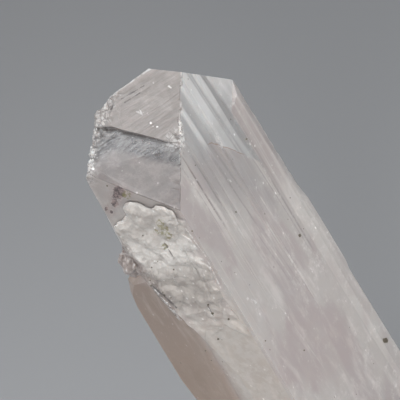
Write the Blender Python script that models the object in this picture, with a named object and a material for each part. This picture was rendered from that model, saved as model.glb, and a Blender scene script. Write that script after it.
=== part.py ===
"""Danburite crystal: one loose crystal, cut off flat where it broke from its rock.

Metres. +Z is the crystal's long axis, the flat cut lies on Z = 0, and the front
edge of the prism faces -Y. The faces are named by their Miller indices.
"""

import math
import random

import bmesh
import bpy
from mathutils import Matrix, Vector, noise

MM = 0.001

# Cell edges of danburite, in angstrom: they set every face angle
CELL_A = 8.04
CELL_B = 8.77
CELL_C = 7.74

# Main crystal
HEIGHT = 70.0 * MM
WIDE_SIDE = 23.3 * MM
NARROW_SIDE = 11.4 * MM
RIDGE_Y = 13.15 * MM
RIDGE_RIGHT_X = 6.85 * MM
TAPER_DEG = 0.35
BLOCK = 400.0 * MM

# How far the grown-on individuals are sunk in the main crystal
SUNK = 0.8 * MM
DEEP_SUNK = 1.5 * MM
BELOW_FOOT = 5.0 * MM
THIN_SUNK = 0.1 * MM

# Broken upper left end: outline on the front dome, X and distance uphill of the front
# corner in millimetres, and how steeply the break drops behind it
BROKEN_END = ((2.4, 17.63), (-1.4, 16.7), (-3.7, 14.4), (-7.9, 9.8))
BREAK_AWAY = Vector((-0.1, 1.0, -0.9))

# Rib along the right edge of the wide face
RIB_START = 19.9 * MM
RIB_TOP_Z = 56.9 * MM
RIB_RISE = 0.55 * MM
RIB_SLOPE_DEG = 16.0
RIB_BACK_RISE = 0.05 * MM
RIB_SPREAD_DEG = 0.9
RIB_DEPTH = 3.2 * MM

# Thin step that thickens the rib's edge for part of its length
LAP_RISE = 0.25 * MM
LAP_TOP_Z = 41.0 * MM
LAP_FOOT_Z = 21.5 * MM
LAP_RUNOUT_DEG = 9.0
LAP_RUNOUT = 4.0 * MM

# Second crystal grown parallel on the left, lower down
FLANK_START = 7.4 * MM
FLANK_START_Z = 33.0 * MM
FLANK_CORNER = Vector((-11.2, 15.0, 41.8)) * MM
FLANK_TOP = Vector((-0.45, 0.2, 0.87)).normalized()
FLANK_BACK_Y = 27.6 * MM
FLANK_SIDE = Vector((-0.9966, 0.082, 0.0))
# Barrel of the flank: reach to the side, height, both in millimetres, and tilt in degrees
FLANK_BARREL = (
    (9.9, 43.7, 21.0),
    (11.4, 37.5, 7.0),
    (11.85, 33.1, 0.5),
    (11.6, 28.1, -3.0),
    (11.3, 24.3, -6.0),
)

# Crusty shelf that overhangs the flank
SHELF_START = -0.1 * MM
SHELF_RISE = 0.7 * MM
SHELF_END_REACH = 8.55 * MM
SHELF_END_Z = 53.3 * MM
SHELF_END_TILT_DEG = 6.3
SHELF_HIGH = Vector((-8.02, 8.75, 48.8)) * MM
SHELF_LOW = Vector((-5.96, 6.5, 38.4)) * MM
SHELF_TOP = Vector((-7.8, 8.5, 55.6)) * MM
SHELF_BACK_Y = 14.5 * MM

# Hollow below the ledge on the front dome: X and distance uphill of the front corner
LEDGE = (
    (-4.6, 15.4),
    (-2.6, 14.9),
    (-1.7, 14.2),
    (-1.0, 13.8),
    (-0.2, 12.7),
    (1.2, 11.1),
    (2.5, 9.6),
    (3.5, 8.2),
    (4.7, 7.3),
)
HOLLOW_FOOT = ((4.9, 6.5), (-5.9, 10.7))
HOLLOW_DEEP = (0.5, 12.0)
HOLLOW_DEPTH = 0.6 * MM

# Lumps on the crust: distance from the front edge, Z, radius and height, in millimetres
LUMPS = (
    (5.8, 58.5, 2.0, 0.45),
    (2.7, 57.5, 1.8, 0.40),
    (8.7, 55.8, 1.9, 0.50),
    (6.6, 53.6, 2.0, 0.60),
    (3.6, 55.1, 2.0, 0.45),
    (2.2, 52.9, 1.6, 0.35),
    (1.9, 48.4, 1.4, 0.28),
    (2.2, 44.0, 1.4, 0.25),
    (4.6, 50.9, 1.9, 0.50),
    (9.5, 51.6, 1.9, 0.55),
    (7.5, 48.6, 1.9, 0.65),
    (4.9, 46.3, 1.8, 0.40),
    (8.1, 44.6, 1.6, 0.60),
    (6.1, 41.2, 1.6, 0.40),
)
# Rounded lobe at the left end of the shelf: centre, then its half sizes
LOBE_CENTRE = Vector((-8.3, 9.6, 49.4)) * MM
LOBE_SIZE = Vector((1.35, 1.5, 2.1)) * MM

# Treads of the wide face: start, end, depth, lowest height, run-out, all in millimetres
WIDE_TREADS = (
    (4.6, 5.0, 0.10, 50.0, 6.0),
    (5.9, 6.3, 0.16, 48.0, 8.0),
    (7.6, 8.4, 0.20, 50.0, 7.0),
    (9.6, 10.9, 0.16, 60.0, 5.0),
    (11.7, 13.6, 0.24, 47.0, 9.0),
    (14.1, 14.5, 0.14, 38.0, 12.0),
    (16.2, 16.9, 0.16, 57.0, 6.0),
    (18.1, 19.4, 0.28, 54.0, 10.0),
)
BACK_TREADS = (
    (3.2, 4.6, 0.18, 22.0, 12.0),
    (7.4, 7.9, 0.14, 36.0, 10.0),
    (10.8, 13.1, 0.24, 30.0, 14.0),
    (15.0, 15.5, 0.14, 12.0, 10.0),
)
RISER = 0.12 * MM
TREAD_LEVEL = 5.5 * MM

# Chips broken from the edges: X, Y, Z of the centre and the radius, all in millimetres
CHIPS = (
    (-7.9, 8.0, 65.9, 1.0),
    (-6.1, 9.3, 66.75, 0.75),
    (-4.4, 10.5, 67.9, 0.7),
    (-3.1, 11.4, 68.7, 0.6),
    (-1.2, 12.8, 69.75, 0.6),
    (5.4, 5.6, 64.0, 0.9),
    (6.5, 6.8, 64.9, 0.6),
    (4.4, 4.7, 63.0, 0.55),
    (7.4, 7.8, 65.7, 0.5),
    (16.4, 17.9, 52.6, 0.8),
    (16.1, 17.4, 58.9, 0.6),
    (16.9, 18.5, 17.5, 1.0),
    (8.4, 26.0, 59.5, 1.7),
    (0.4, 27.9, 45.3, 1.6),
    (12.9, 20.9, 60.7, 1.3),
    (-0.2, -0.8, 9.0, 0.7),
)

# Surface relief
CRUST_RELIEF = 0.42 * MM
CRUST_GRAIN = 1.7 * MM
BREAK_RELIEF = 0.42 * MM
BREAK_GRAIN = 2.2 * MM
CRUST_MESH = 0.75 * MM
BREAK_MESH = 1.2 * MM
PLAIN_MESH = 9.0 * MM
SLIVER = 0.0005 * MM * MM

CRYSTAL_COLOUR = (0.62, 0.55, 0.53, 1.0)
CRYSTAL_ROUGHNESS = 0.22


def lattice_normal(h, k, l):
    """Outward normal of the face (h k l)."""
    return Vector((h / CELL_A, k / CELL_B, l / CELL_C)).normalized()


WIDE = lattice_normal(1, -1, 0)
NARROW = lattice_normal(-1, -1, 0)
BACK = lattice_normal(-1, 1, 0)
DOME = lattice_normal(0, -1, 1)
WIDE_ALONG = Vector((-WIDE.y, WIDE.x, 0.0))
NARROW_ALONG = Vector((NARROW.y, -NARROW.x, 0.0))
BACK_ALONG = Vector((BACK.y, -BACK.x, 0.0))
FRONT_EDGE = Vector((0.0, 0.0, 0.0))
RIGHT_EDGE = WIDE_ALONG * WIDE_SIDE
LEFT_EDGE = NARROW_ALONG * NARROW_SIDE
RIDGE = Vector((0.0, RIDGE_Y, HEIGHT))
FLANK = lattice_normal(-2, -1, 0)
FLANK_PLACE = NARROW_ALONG * FLANK_START + Vector((0.0, 0.0, FLANK_START_Z))
UNDER = Vector((0.3, 1.0, 0.2)).cross(SHELF_LOW - SHELF_HIGH).normalized()
FRONT_CORNER = Vector((0.0, 0.0, HEIGHT - RIDGE_Y * CELL_C / CELL_B))
DOME_UPHILL = Vector((0.0, DOME.z, -DOME.y))


def leaning(normal, degrees):
    """A prism face's normal, leaned back so that the crystal widens towards its foot."""
    lift = math.tan(math.radians(degrees))
    return Vector((normal.x, normal.y, lift)).normalized()


def turned(normal, degrees):
    """A normal turned about the long axis, anticlockwise from above."""
    return Matrix.Rotation(math.radians(degrees), 3, "Z") @ normal


def empty_the_scene():
    for thing in list(bpy.data.objects):
        bpy.data.objects.remove(thing, do_unlink=True)
    for group in list(bpy.data.collections):
        bpy.data.collections.remove(group)


def collection(name):
    group = bpy.data.collections.new(name)
    bpy.context.scene.collection.children.link(group)
    return group


def object_from(bm, name, group):
    mesh = bpy.data.meshes.new(name)
    bm.to_mesh(mesh)
    bm.free()
    thing = bpy.data.objects.new(name, mesh)
    group.objects.link(thing)
    return thing


def cleave(bm, point, normal):
    """Cuts away all that lies outside one face, and closes the cut."""
    geometry = bm.verts[:] + bm.edges[:] + bm.faces[:]
    cut = bmesh.ops.bisect_plane(
        bm, geom=geometry, dist=1e-7, plane_co=point, plane_no=normal, clear_outer=True
    )
    rim = [part for part in cut["geom_cut"] if isinstance(part, bmesh.types.BMEdge)]
    if rim:
        bmesh.ops.contextual_create(bm, geom=rim)


def individual(faces, foot=0.0):
    """A block cleaved down to the faces of one crystal, cut off flat at its foot."""
    bm = bmesh.new()
    bmesh.ops.create_cube(bm, size=BLOCK)
    cleave(bm, Vector((0.0, 0.0, foot)), Vector((0.0, 0.0, -1.0)))
    for point, normal in faces:
        cleave(bm, point, normal)
    bmesh.ops.recalc_face_normals(bm, faces=bm.faces[:])
    return bm


def dome_point(x, uphill, height):
    """A point on the front dome, from its X, its way up the slope and its height over it."""
    return FRONT_CORNER + Vector((x, 0.0, 0.0)) + DOME_UPHILL * uphill + DOME * height


def broken_end_faces():
    """The faces that drop away behind the broken upper left end of the dome."""
    outline = [dome_point(x * MM, uphill * MM, 0.0) for x, uphill in BROKEN_END]
    faces = []
    for first, second in zip(outline, outline[1:]):
        faces.append((first, BREAK_AWAY.cross(second - first).normalized()))
    return faces


def main_crystal():
    """The tall prism with the roof-like end."""
    ridge_right = Vector((RIDGE_RIGHT_X, RIDGE_Y, HEIGHT))
    faces = [
        (RIDGE, DOME),
        (RIDGE, lattice_normal(0, 1, 1)),
        (ridge_right, lattice_normal(3, 2, 3)),
        (FRONT_CORNER, leaning(WIDE, TAPER_DEG)),
        (FRONT_CORNER, leaning(NARROW, TAPER_DEG)),
        (RIGHT_EDGE + FRONT_CORNER, leaning(lattice_normal(1, 1, 0), TAPER_DEG)),
        (LEFT_EDGE + FRONT_CORNER, leaning(BACK, TAPER_DEG)),
    ]
    return individual(faces + broken_end_faces())


def right_rib():
    """The raised rib on the right of the wide face, topped by a small dome face."""
    start = WIDE_ALONG * RIB_START + Vector((0.0, 0.0, RIB_TOP_Z))
    end = RIGHT_EDGE + FRONT_CORNER
    back = RIGHT_EDGE + lattice_normal(1, 1, 0) * RIB_BACK_RISE + FRONT_CORNER
    faces = [
        (start, DOME),
        (Vector((RIDGE_RIGHT_X, RIDGE_Y, HEIGHT)), lattice_normal(3, 2, 3)),
        (start, turned(WIDE, -RIB_SLOPE_DEG)),
        (start + WIDE * RIB_RISE, WIDE),
        (end, leaning(lattice_normal(2, -1, 0), RIB_SPREAD_DEG)),
        (back, leaning(lattice_normal(1, 1, 0), RIB_SPREAD_DEG)),
        (start - WIDE * RIB_DEPTH, -WIDE),
    ]
    return individual(faces)


def edge_lap():
    """A thin step along the rib's outer edge."""
    end = RIGHT_EDGE + FRONT_CORNER
    back = RIGHT_EDGE + lattice_normal(1, 1, 0) * RIB_BACK_RISE + FRONT_CORNER
    side = lattice_normal(2, -1, 0)
    rear = lattice_normal(1, 1, 0)
    slope = WIDE_ALONG * RIB_START - WIDE * THIN_SUNK
    top = Vector((RIGHT_EDGE.x, RIGHT_EDGE.y, LAP_TOP_Z))
    foot = Vector((RIGHT_EDGE.x, RIGHT_EDGE.y, LAP_FOOT_Z))
    faces = [
        (end + side * LAP_RISE, leaning(side, RIB_SPREAD_DEG)),
        (back + rear * LAP_RISE, leaning(rear, RIB_SPREAD_DEG)),
        (WIDE * RIB_RISE * 0.85, WIDE),
        (slope, turned(WIDE, -RIB_SLOPE_DEG)),
        (end - side * RIB_DEPTH, -side),
        (back - rear * RIB_DEPTH, -rear),
        (top, leaning(side, LAP_RUNOUT_DEG)),
        (foot, leaning(side, -LAP_RUNOUT_DEG)),
        (top + Vector((0.0, 0.0, LAP_RUNOUT)), Vector((0.0, 0.0, 1.0))),
        (foot - Vector((0.0, 0.0, LAP_RUNOUT)), Vector((0.0, 0.0, -1.0))),
    ]
    return individual(faces)


def left_flank():
    """The parallel crystal that widens the foot on the left."""
    inner = RIGHT_EDGE - lattice_normal(1, 1, 0) * SUNK
    faces = [
        (FLANK_PLACE, leaning(FLANK, TAPER_DEG)),
        (FRONT_CORNER - NARROW * SUNK, NARROW),
        (FLANK_CORNER, leaning(BACK, TAPER_DEG)),
        (FLANK_CORNER, FLANK_TOP),
        (Vector((0.0, FLANK_BACK_Y, 0.0)), Vector((0.0, 1.0, 0.0))),
        (inner, lattice_normal(1, 1, 0)),
        (FRONT_EDGE - WIDE * DEEP_SUNK, WIDE),
    ]
    for reach, height, tilt in FLANK_BARREL:
        place = FLANK_SIDE * reach * MM + Vector((0.0, 0.0, height)) * MM
        faces.append((place, leaning(FLANK_SIDE, tilt)))
    return individual(faces)


def undercut():
    """What is missing of the main crystal in front of the flank, below the shelf."""
    faces = [
        (FLANK_PLACE - FLANK * THIN_SUNK * 3.0, -leaning(FLANK, TAPER_DEG)),
        (SHELF_HIGH, -UNDER),
    ]
    return individual(faces, -BELOW_FOOT)


def crust_shelf():
    """The lumpy shelf over the flank: its lower left side hangs over."""
    start = NARROW_ALONG * SHELF_START
    foot = SHELF_LOW + Vector((0.0, 0.0, -4.0)) * MM
    end = FLANK_SIDE * SHELF_END_REACH + Vector((0.0, 0.0, SHELF_END_Z))
    faces = [
        (start, (NARROW * 0.97 - NARROW_ALONG * 0.25).normalized()),
        (start + NARROW * SHELF_RISE, NARROW),
        (end, leaning(FLANK_SIDE, SHELF_END_TILT_DEG)),
        (SHELF_HIGH, UNDER),
        (SHELF_TOP, Vector((-0.72, 0.1, 0.69)).normalized()),
        (Vector((0.0, SHELF_BACK_Y, 0.0)), Vector((0.0, 1.0, 0.0))),
        (foot, (NARROW - Vector((0.0, 0.0, 0.12))).normalized()),
        (FRONT_EDGE - WIDE * THIN_SUNK, WIDE),
        (FRONT_CORNER - DOME * DEEP_SUNK, DOME),
        (Vector((MM, 0.0, 0.0)), Vector((1.0, 0.0, 0.0))),
    ]
    return individual(faces)


def lump(along, height, radius, thickness, seed):
    """One lump of the crust: a low faceted mound sunk in the narrow face."""
    rng = random.Random(seed)
    bm = bmesh.new()
    bmesh.ops.create_icosphere(bm, subdivisions=2, radius=1.0)
    turn = Matrix.Rotation(rng.uniform(0.0, math.pi), 3, "Z")
    bmesh.ops.rotate(bm, cent=(0.0, 0.0, 0.0), matrix=turn, verts=bm.verts[:])
    size = Vector((radius * rng.uniform(0.85, 1.2), thickness, radius * rng.uniform(0.9, 1.3)))
    bmesh.ops.scale(bm, vec=size, verts=bm.verts[:])
    facing = Vector((0.0, -1.0, 0.0)).rotation_difference(NARROW).to_matrix()
    bmesh.ops.rotate(bm, cent=(0.0, 0.0, 0.0), matrix=facing, verts=bm.verts[:])
    level = min(SHELF_RISE, (along - SHELF_START) * 0.25)
    place = NARROW_ALONG * along + NARROW * level * 0.7 + Vector((0.0, 0.0, height))
    bmesh.ops.translate(bm, vec=place, verts=bm.verts[:])
    cleave(bm, FRONT_EDGE - WIDE * THIN_SUNK, WIDE)
    bmesh.ops.recalc_face_normals(bm, faces=bm.faces[:])
    return bm


def lobe():
    """The rounded lobe at the shelf's left end."""
    bm = bmesh.new()
    bmesh.ops.create_icosphere(bm, subdivisions=2, radius=1.0)
    bmesh.ops.scale(bm, vec=LOBE_SIZE, verts=bm.verts[:])
    bmesh.ops.translate(bm, vec=LOBE_CENTRE, verts=bm.verts[:])
    return bm


def ledge_hollow():
    """The scoop under the ledge: an extruded outline with a sloping floor."""
    bm = bmesh.new()
    outline = [dome_point(x * MM, up * MM, 2.0 * MM) for x, up in LEDGE + HOLLOW_FOOT]
    rim = [bm.verts.new(point) for point in outline]
    cap = bm.faces.new(rim)
    grown = bmesh.ops.extrude_face_region(bm, geom=[cap])
    moved = [part for part in grown["geom"] if isinstance(part, bmesh.types.BMVert)]
    bmesh.ops.translate(bm, verts=moved, vec=DOME * -6.0 * MM)
    bmesh.ops.recalc_face_normals(bm, faces=bm.faces[:])
    first, last = [dome_point(x * MM, up * MM, 0.0) for x, up in HOLLOW_FOOT]
    deepest = dome_point(HOLLOW_DEEP[0] * MM, HOLLOW_DEEP[1] * MM, -HOLLOW_DEPTH)
    floor = (last - first).cross(deepest - first).normalized()
    if floor.dot(DOME) > 0.0:
        floor = -floor
    cleave(bm, first, floor)
    bmesh.ops.recalc_face_normals(bm, faces=bm.faces[:])
    return bm


def chip(centre, radius, seed):
    """One broken-out chip, as a low, turned ball with flat facets."""
    rng = random.Random(seed)
    bm = bmesh.new()
    bmesh.ops.create_icosphere(bm, subdivisions=1, radius=radius)
    squash = Vector((rng.uniform(0.9, 1.5), rng.uniform(0.8, 1.2), rng.uniform(0.7, 1.0)))
    bmesh.ops.scale(bm, vec=squash, verts=bm.verts[:])
    turn = Matrix.Rotation(rng.uniform(0.0, math.pi), 3, "X")
    turn = Matrix.Rotation(rng.uniform(0.0, math.pi), 3, "Z") @ turn
    bmesh.ops.rotate(bm, cent=(0.0, 0.0, 0.0), matrix=turn, verts=bm.verts[:])
    bmesh.ops.translate(bm, vec=centre, verts=bm.verts[:])
    return bm


def combine(body, tool, operation):
    """Adds a live Boolean to the body, with the tool hidden as a cutter."""
    tool.hide_render = True
    tool.display_type = "WIRE"
    change = body.modifiers.new(tool.name, "BOOLEAN")
    change.operation = operation
    change.object = tool
    change.solver = "EXACT"


def settled_mesh(thing):
    """The object's mesh with its modifiers taken into it, as a bmesh."""
    graph = bpy.context.evaluated_depsgraph_get()
    mesh = bpy.data.meshes.new_from_object(thing.evaluated_get(graph))
    bm = bmesh.new()
    bm.from_mesh(mesh)
    bpy.data.meshes.remove(mesh)
    return bm


def on_plane(face, point, normal, spread):
    """True where a mesh face lies in the plane, within a small spread."""
    if face.normal.dot(normal) < 0.999:
        return False
    return abs((face.calc_center_median() - point).dot(normal)) < spread


def rule(bm, point, normal, cut_point, cut_normal):
    """Draws one straight line across the faces that lie in a plane."""
    faces = [face for face in bm.faces if on_plane(face, point, normal, 0.05 * MM)]
    edges = {edge for face in faces for edge in face.edges}
    verts = {vert for face in faces for vert in face.verts}
    geometry = faces + list(edges) + list(verts)
    bmesh.ops.bisect_plane(bm, geom=geometry, dist=1e-7, plane_co=cut_point, plane_no=cut_normal)


def rule_treads(bm, point, normal, along, treads):
    """Lines for the edges of the treads, and level lines that let them run out."""
    for start, end, _depth, _low, _run in treads:
        for place in (start * MM, start * MM + RISER, end * MM - RISER, end * MM):
            rule(bm, point, normal, point + along * place, along)
    level = HEIGHT - TREAD_LEVEL
    while level > TREAD_LEVEL:
        rule(bm, point, normal, Vector((0.0, 0.0, level)), Vector((0.0, 0.0, 1.0)))
        level -= TREAD_LEVEL


def tread_depth(place, height, treads):
    """How deep the treads lie at a distance from the edge and a height, in metres."""
    for start, end, depth, low, run in treads:
        inside = start * MM + RISER * 0.5 < place < end * MM - RISER * 0.5
        if inside:
            fade = (height - (low - run) * MM) / (run * MM)
            return depth * MM * max(0.0, min(1.0, fade))
    return 0.0


def lower_treads(bm, point, normal, along, treads, tops):
    """Moves the treads inwards, sliding their upper ends along the end faces."""
    for vert in bm.verts:
        if abs((vert.co - point).dot(normal)) > 0.05 * MM:
            continue
        place = (vert.co - point).dot(along)
        depth = tread_depth(place, vert.co.z, treads)
        if depth <= 0.0:
            continue
        touching = [top for top in tops if abs((vert.co - top[0]).dot(top[1])) < 1e-6]
        vert.co -= normal * depth
        for origin, top_normal in touching:
            vert.co.z -= (vert.co - origin).dot(top_normal) / top_normal.z


def smooth_step(low, high, value):
    share = max(0.0, min(1.0, (value - low) / (high - low)))
    return share * share * (3.0 - 2.0 * share)


def crust_share(point):
    """1 on the crust that stands out of the narrow face, 0 away from it."""
    height = (point - FRONT_CORNER).dot(leaning(NARROW, TAPER_DEG))
    raised = smooth_step(0.03 * MM, 0.3 * MM, height)
    inside = 1.0 - smooth_step(-0.3 * MM, 0.3 * MM, (point - SHELF_HIGH).dot(UNDER))
    lower = smooth_step(30.0 * MM, 41.0 * MM, point.z)
    return raised * inside * (0.12 + 0.88 * lower)


def break_share(point):
    """1 on the broken upper left shoulder, 0 away from it."""
    over = (point - dome_point(-5.0 * MM, 12.5 * MM, 0.0)).dot(Vector((-0.62, 0.47, 0.63)))
    high = smooth_step(56.0 * MM, 60.0 * MM, point.z)
    left = 1.0 - smooth_step(1.5 * MM, 4.0 * MM, point.x)
    return smooth_step(-1.6 * MM, -0.2 * MM, over) * high * left


def mesh_length(point):
    """The longest edge wanted at a place."""
    if crust_share(point) > 0.3:
        return CRUST_MESH
    if break_share(point) > 0.2:
        return BREAK_MESH
    return PLAIN_MESH


def refine(bm):
    """Halves the long edges, again and again, until each place has its mesh."""
    for _ in range(9):
        bmesh.ops.triangulate(bm, faces=bm.faces[:])
        long_edges = []
        for edge in bm.edges:
            middle = (edge.verts[0].co + edge.verts[1].co) * 0.5
            narrow = min(face.calc_area() for face in edge.link_faces) < SLIVER
            if edge.calc_length() > mesh_length(middle) * 1.4 and not narrow:
                long_edges.append(edge)
        if not long_edges:
            break
        bmesh.ops.subdivide_edges(bm, edges=long_edges, cuts=1, use_grid_fill=False)
    bmesh.ops.triangulate(bm, faces=bm.faces[:])


def grain(point, size, seed):
    """Angular bumps between about -1 and 1."""
    place = point / size + Vector((seed, seed * 0.7, -seed))
    distances, _ = noise.voronoi(place)
    return 1.0 - 1.6 * distances[0] + 0.5 * noise.noise(place * 0.45)


def roughen(bm):
    """Raises the crust and the broken shoulder."""
    bm.normal_update()
    for vert in bm.verts:
        if vert.co.z < 1.0 * MM:
            continue
        crust = crust_share(vert.co)
        broken = break_share(vert.co)
        lift = crust * CRUST_RELIEF * (grain(vert.co, CRUST_GRAIN, 3.0) - 0.35)
        lift += broken * BREAK_RELIEF * (grain(vert.co, BREAK_GRAIN, 11.0) - 0.7)
        vert.co += vert.normal * lift


def centre_on_foot(bm):
    """Moves the crystal so that its box is centred over the origin."""
    xs = [vert.co.x for vert in bm.verts]
    ys = [vert.co.y for vert in bm.verts]
    shift = Vector(((min(xs) + max(xs)) * -0.5, (min(ys) + max(ys)) * -0.5, 0.0))
    bmesh.ops.translate(bm, vec=shift, verts=bm.verts[:])


def crystal_material():
    material = bpy.data.materials.new("danburite")
    material.use_nodes = True
    shader = material.node_tree.nodes["Principled BSDF"]
    shader.inputs["Base Color"].default_value = CRYSTAL_COLOUR
    shader.inputs["Roughness"].default_value = CRYSTAL_ROUGHNESS
    shader.inputs["Metallic"].default_value = 0.0
    material.diffuse_color = CRYSTAL_COLOUR
    return material


def build():
    empty_the_scene()
    parts = collection("danburite")
    cutters = collection("danburite_cutters")

    rough = object_from(main_crystal(), "main_crystal", cutters)
    grown = (
        ("right_rib", right_rib()),
        ("edge_lap", edge_lap()),
        ("crust_shelf", crust_shelf()),
    )
    for name, bm in grown:
        combine(rough, object_from(bm, name, cutters), "UNION")
    for number, (along, height, radius, thickness) in enumerate(LUMPS):
        bm = lump(along * MM, height * MM, radius * MM, thickness * MM, number)
        combine(rough, object_from(bm, f"lump_{number:02d}", cutters), "UNION")
    combine(rough, object_from(undercut(), "undercut", cutters), "DIFFERENCE")
    combine(rough, object_from(left_flank(), "left_flank", cutters), "UNION")
    combine(rough, object_from(lobe(), "lobe", cutters), "UNION")
    combine(rough, object_from(ledge_hollow(), "ledge_hollow", cutters), "DIFFERENCE")
    for number, (x, y, z, radius) in enumerate(CHIPS):
        bm = chip(Vector((x, y, z)) * MM, radius * MM, number)
        combine(rough, object_from(bm, f"chip_{number:02d}", cutters), "DIFFERENCE")

    bm = settled_mesh(rough)
    tops = ((RIDGE, DOME), (Vector((RIDGE_RIGHT_X, RIDGE_Y, HEIGHT)), lattice_normal(3, 2, 3)))
    wide = leaning(WIDE, TAPER_DEG)
    rule_treads(bm, FRONT_CORNER, wide, WIDE_ALONG, WIDE_TREADS)
    lower_treads(bm, FRONT_CORNER, wide, WIDE_ALONG, WIDE_TREADS, tops)
    back = leaning(BACK, TAPER_DEG)
    rule_treads(bm, FLANK_CORNER, back, BACK_ALONG, BACK_TREADS)
    lower_treads(bm, FLANK_CORNER, back, BACK_ALONG, BACK_TREADS, ((FLANK_CORNER, FLANK_TOP),))
    refine(bm)
    roughen(bm)
    centre_on_foot(bm)
    bmesh.ops.dissolve_degenerate(bm, dist=1e-6, edges=bm.edges[:])
    bmesh.ops.triangulate(bm, faces=bm.faces[:])
    crystal = object_from(bm, "danburite_crystal", parts)
    crystal.data.materials.append(crystal_material())
    rough.hide_render = True
    rough.display_type = "WIRE"
    return crystal


build()
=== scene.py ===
import math
import random

import bmesh
import bpy
from bpy.props import FloatProperty, FloatVectorProperty, IntProperty
from mathutils import Matrix, Vector, noise


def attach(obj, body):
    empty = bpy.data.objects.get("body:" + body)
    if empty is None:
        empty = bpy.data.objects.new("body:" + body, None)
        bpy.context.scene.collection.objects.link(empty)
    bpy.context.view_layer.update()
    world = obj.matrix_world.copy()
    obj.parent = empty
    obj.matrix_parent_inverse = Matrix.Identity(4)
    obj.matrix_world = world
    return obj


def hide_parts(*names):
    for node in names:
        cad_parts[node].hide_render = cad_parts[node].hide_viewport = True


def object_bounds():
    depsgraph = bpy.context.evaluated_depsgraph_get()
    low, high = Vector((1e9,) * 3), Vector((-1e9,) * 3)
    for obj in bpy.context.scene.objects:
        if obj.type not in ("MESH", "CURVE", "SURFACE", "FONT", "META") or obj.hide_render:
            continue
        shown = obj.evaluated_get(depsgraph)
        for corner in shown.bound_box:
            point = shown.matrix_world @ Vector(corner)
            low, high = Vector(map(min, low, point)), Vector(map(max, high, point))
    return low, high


bl_info = {
    "name": "Danburite crystal",
    "version": (1, 0, 0),
    "blender": (4, 5, 0),
    "location": "View3D > Sidebar > Danburite",
    "description": "Grows the fine surface of a danburite crystal and sets its studio",
    "category": "Add Mesh",
}

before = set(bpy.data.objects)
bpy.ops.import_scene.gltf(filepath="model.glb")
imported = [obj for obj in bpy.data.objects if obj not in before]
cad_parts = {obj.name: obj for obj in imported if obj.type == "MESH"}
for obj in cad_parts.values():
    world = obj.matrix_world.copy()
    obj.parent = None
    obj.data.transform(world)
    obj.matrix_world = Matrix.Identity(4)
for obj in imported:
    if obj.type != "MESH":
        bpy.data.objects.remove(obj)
CAD_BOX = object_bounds()
NODE = "danburite_crystal"

MM = 0.001
# Two points nearer than this are one, in metres
TOUCH = 1e-7

# Cell edges of danburite in angstrom, the prism's taper, and its front corner's height
CELL_A = 8.04
CELL_B = 8.77
CELL_C = 7.74
TAPER_DEG = 0.35
CORNER_Z = 58.39


def lattice_normal(h, k, l):
    """Outward normal of the face (h k l)."""
    return Vector((h / CELL_A, k / CELL_B, l / CELL_C)).normalized()


def leaning(normal, degrees=TAPER_DEG):
    """A prism face's normal with the taper of the crystal."""
    return Vector((normal.x, normal.y, math.tan(math.radians(degrees)))).normalized()


WIDE = lattice_normal(1, -1, 0)
NARROW = lattice_normal(-1, -1, 0)
BACK = lattice_normal(-1, 1, 0)
DOME = lattice_normal(0, -1, 1)
BACK_DOME = lattice_normal(0, 1, 1)
RIGHT_CUT = lattice_normal(3, 2, 3)
SIDE = lattice_normal(1, 1, 0)
WIDE_ALONG = Vector((-WIDE.y, WIDE.x, 0.0))
NARROW_ALONG = Vector((NARROW.y, -NARROW.x, 0.0))
BACK_ALONG = Vector((BACK.y, -BACK.x, 0.0))
DOME_UPHILL = Vector((0.0, DOME.z, -DOME.y))
CORNER = Vector((0.0, 0.0, CORNER_Z))


def front_edge():
    """Plan place of the front edge below its top corner, in millimetres."""
    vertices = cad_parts[NODE].data.vertices
    foot = min((v.co for v in vertices if v.co.z < 1e-6), key=lambda co: co.y)
    spread = math.tan(math.radians(TAPER_DEG)) * CORNER_Z / -WIDE.y
    return Vector((foot.x / MM, foot.y / MM + spread, 0.0))


EDGE = front_edge()

# The line of sight of the photograph, in degrees: heading past +Y, height and roll
SIGHT_HEADING = 4.7
SIGHT_HEIGHT = 33.5
SIGHT_ROLL = 31.0
# The picture's middle, right and down from the front corner, and the eye's distance
SIGHT_RIGHT = 2.7875
SIGHT_DOWN = 0.2125
SIGHT_REACH = 700.0


def sight_axes(heading, height, roll):
    """Right and up of a line of sight, without and with its roll, and its forward."""
    level = math.cos(height)
    forward = Vector((math.sin(heading) * level, math.cos(heading) * level, -math.sin(height)))
    level_right = Vector((math.cos(heading), -math.sin(heading), 0.0))
    level_up = level_right.cross(forward)
    right = level_right * math.cos(roll) - level_up * math.sin(roll)
    up = level_right * math.sin(roll) + level_up * math.cos(roll)
    return level_right, level_up, right, up, forward


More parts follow.
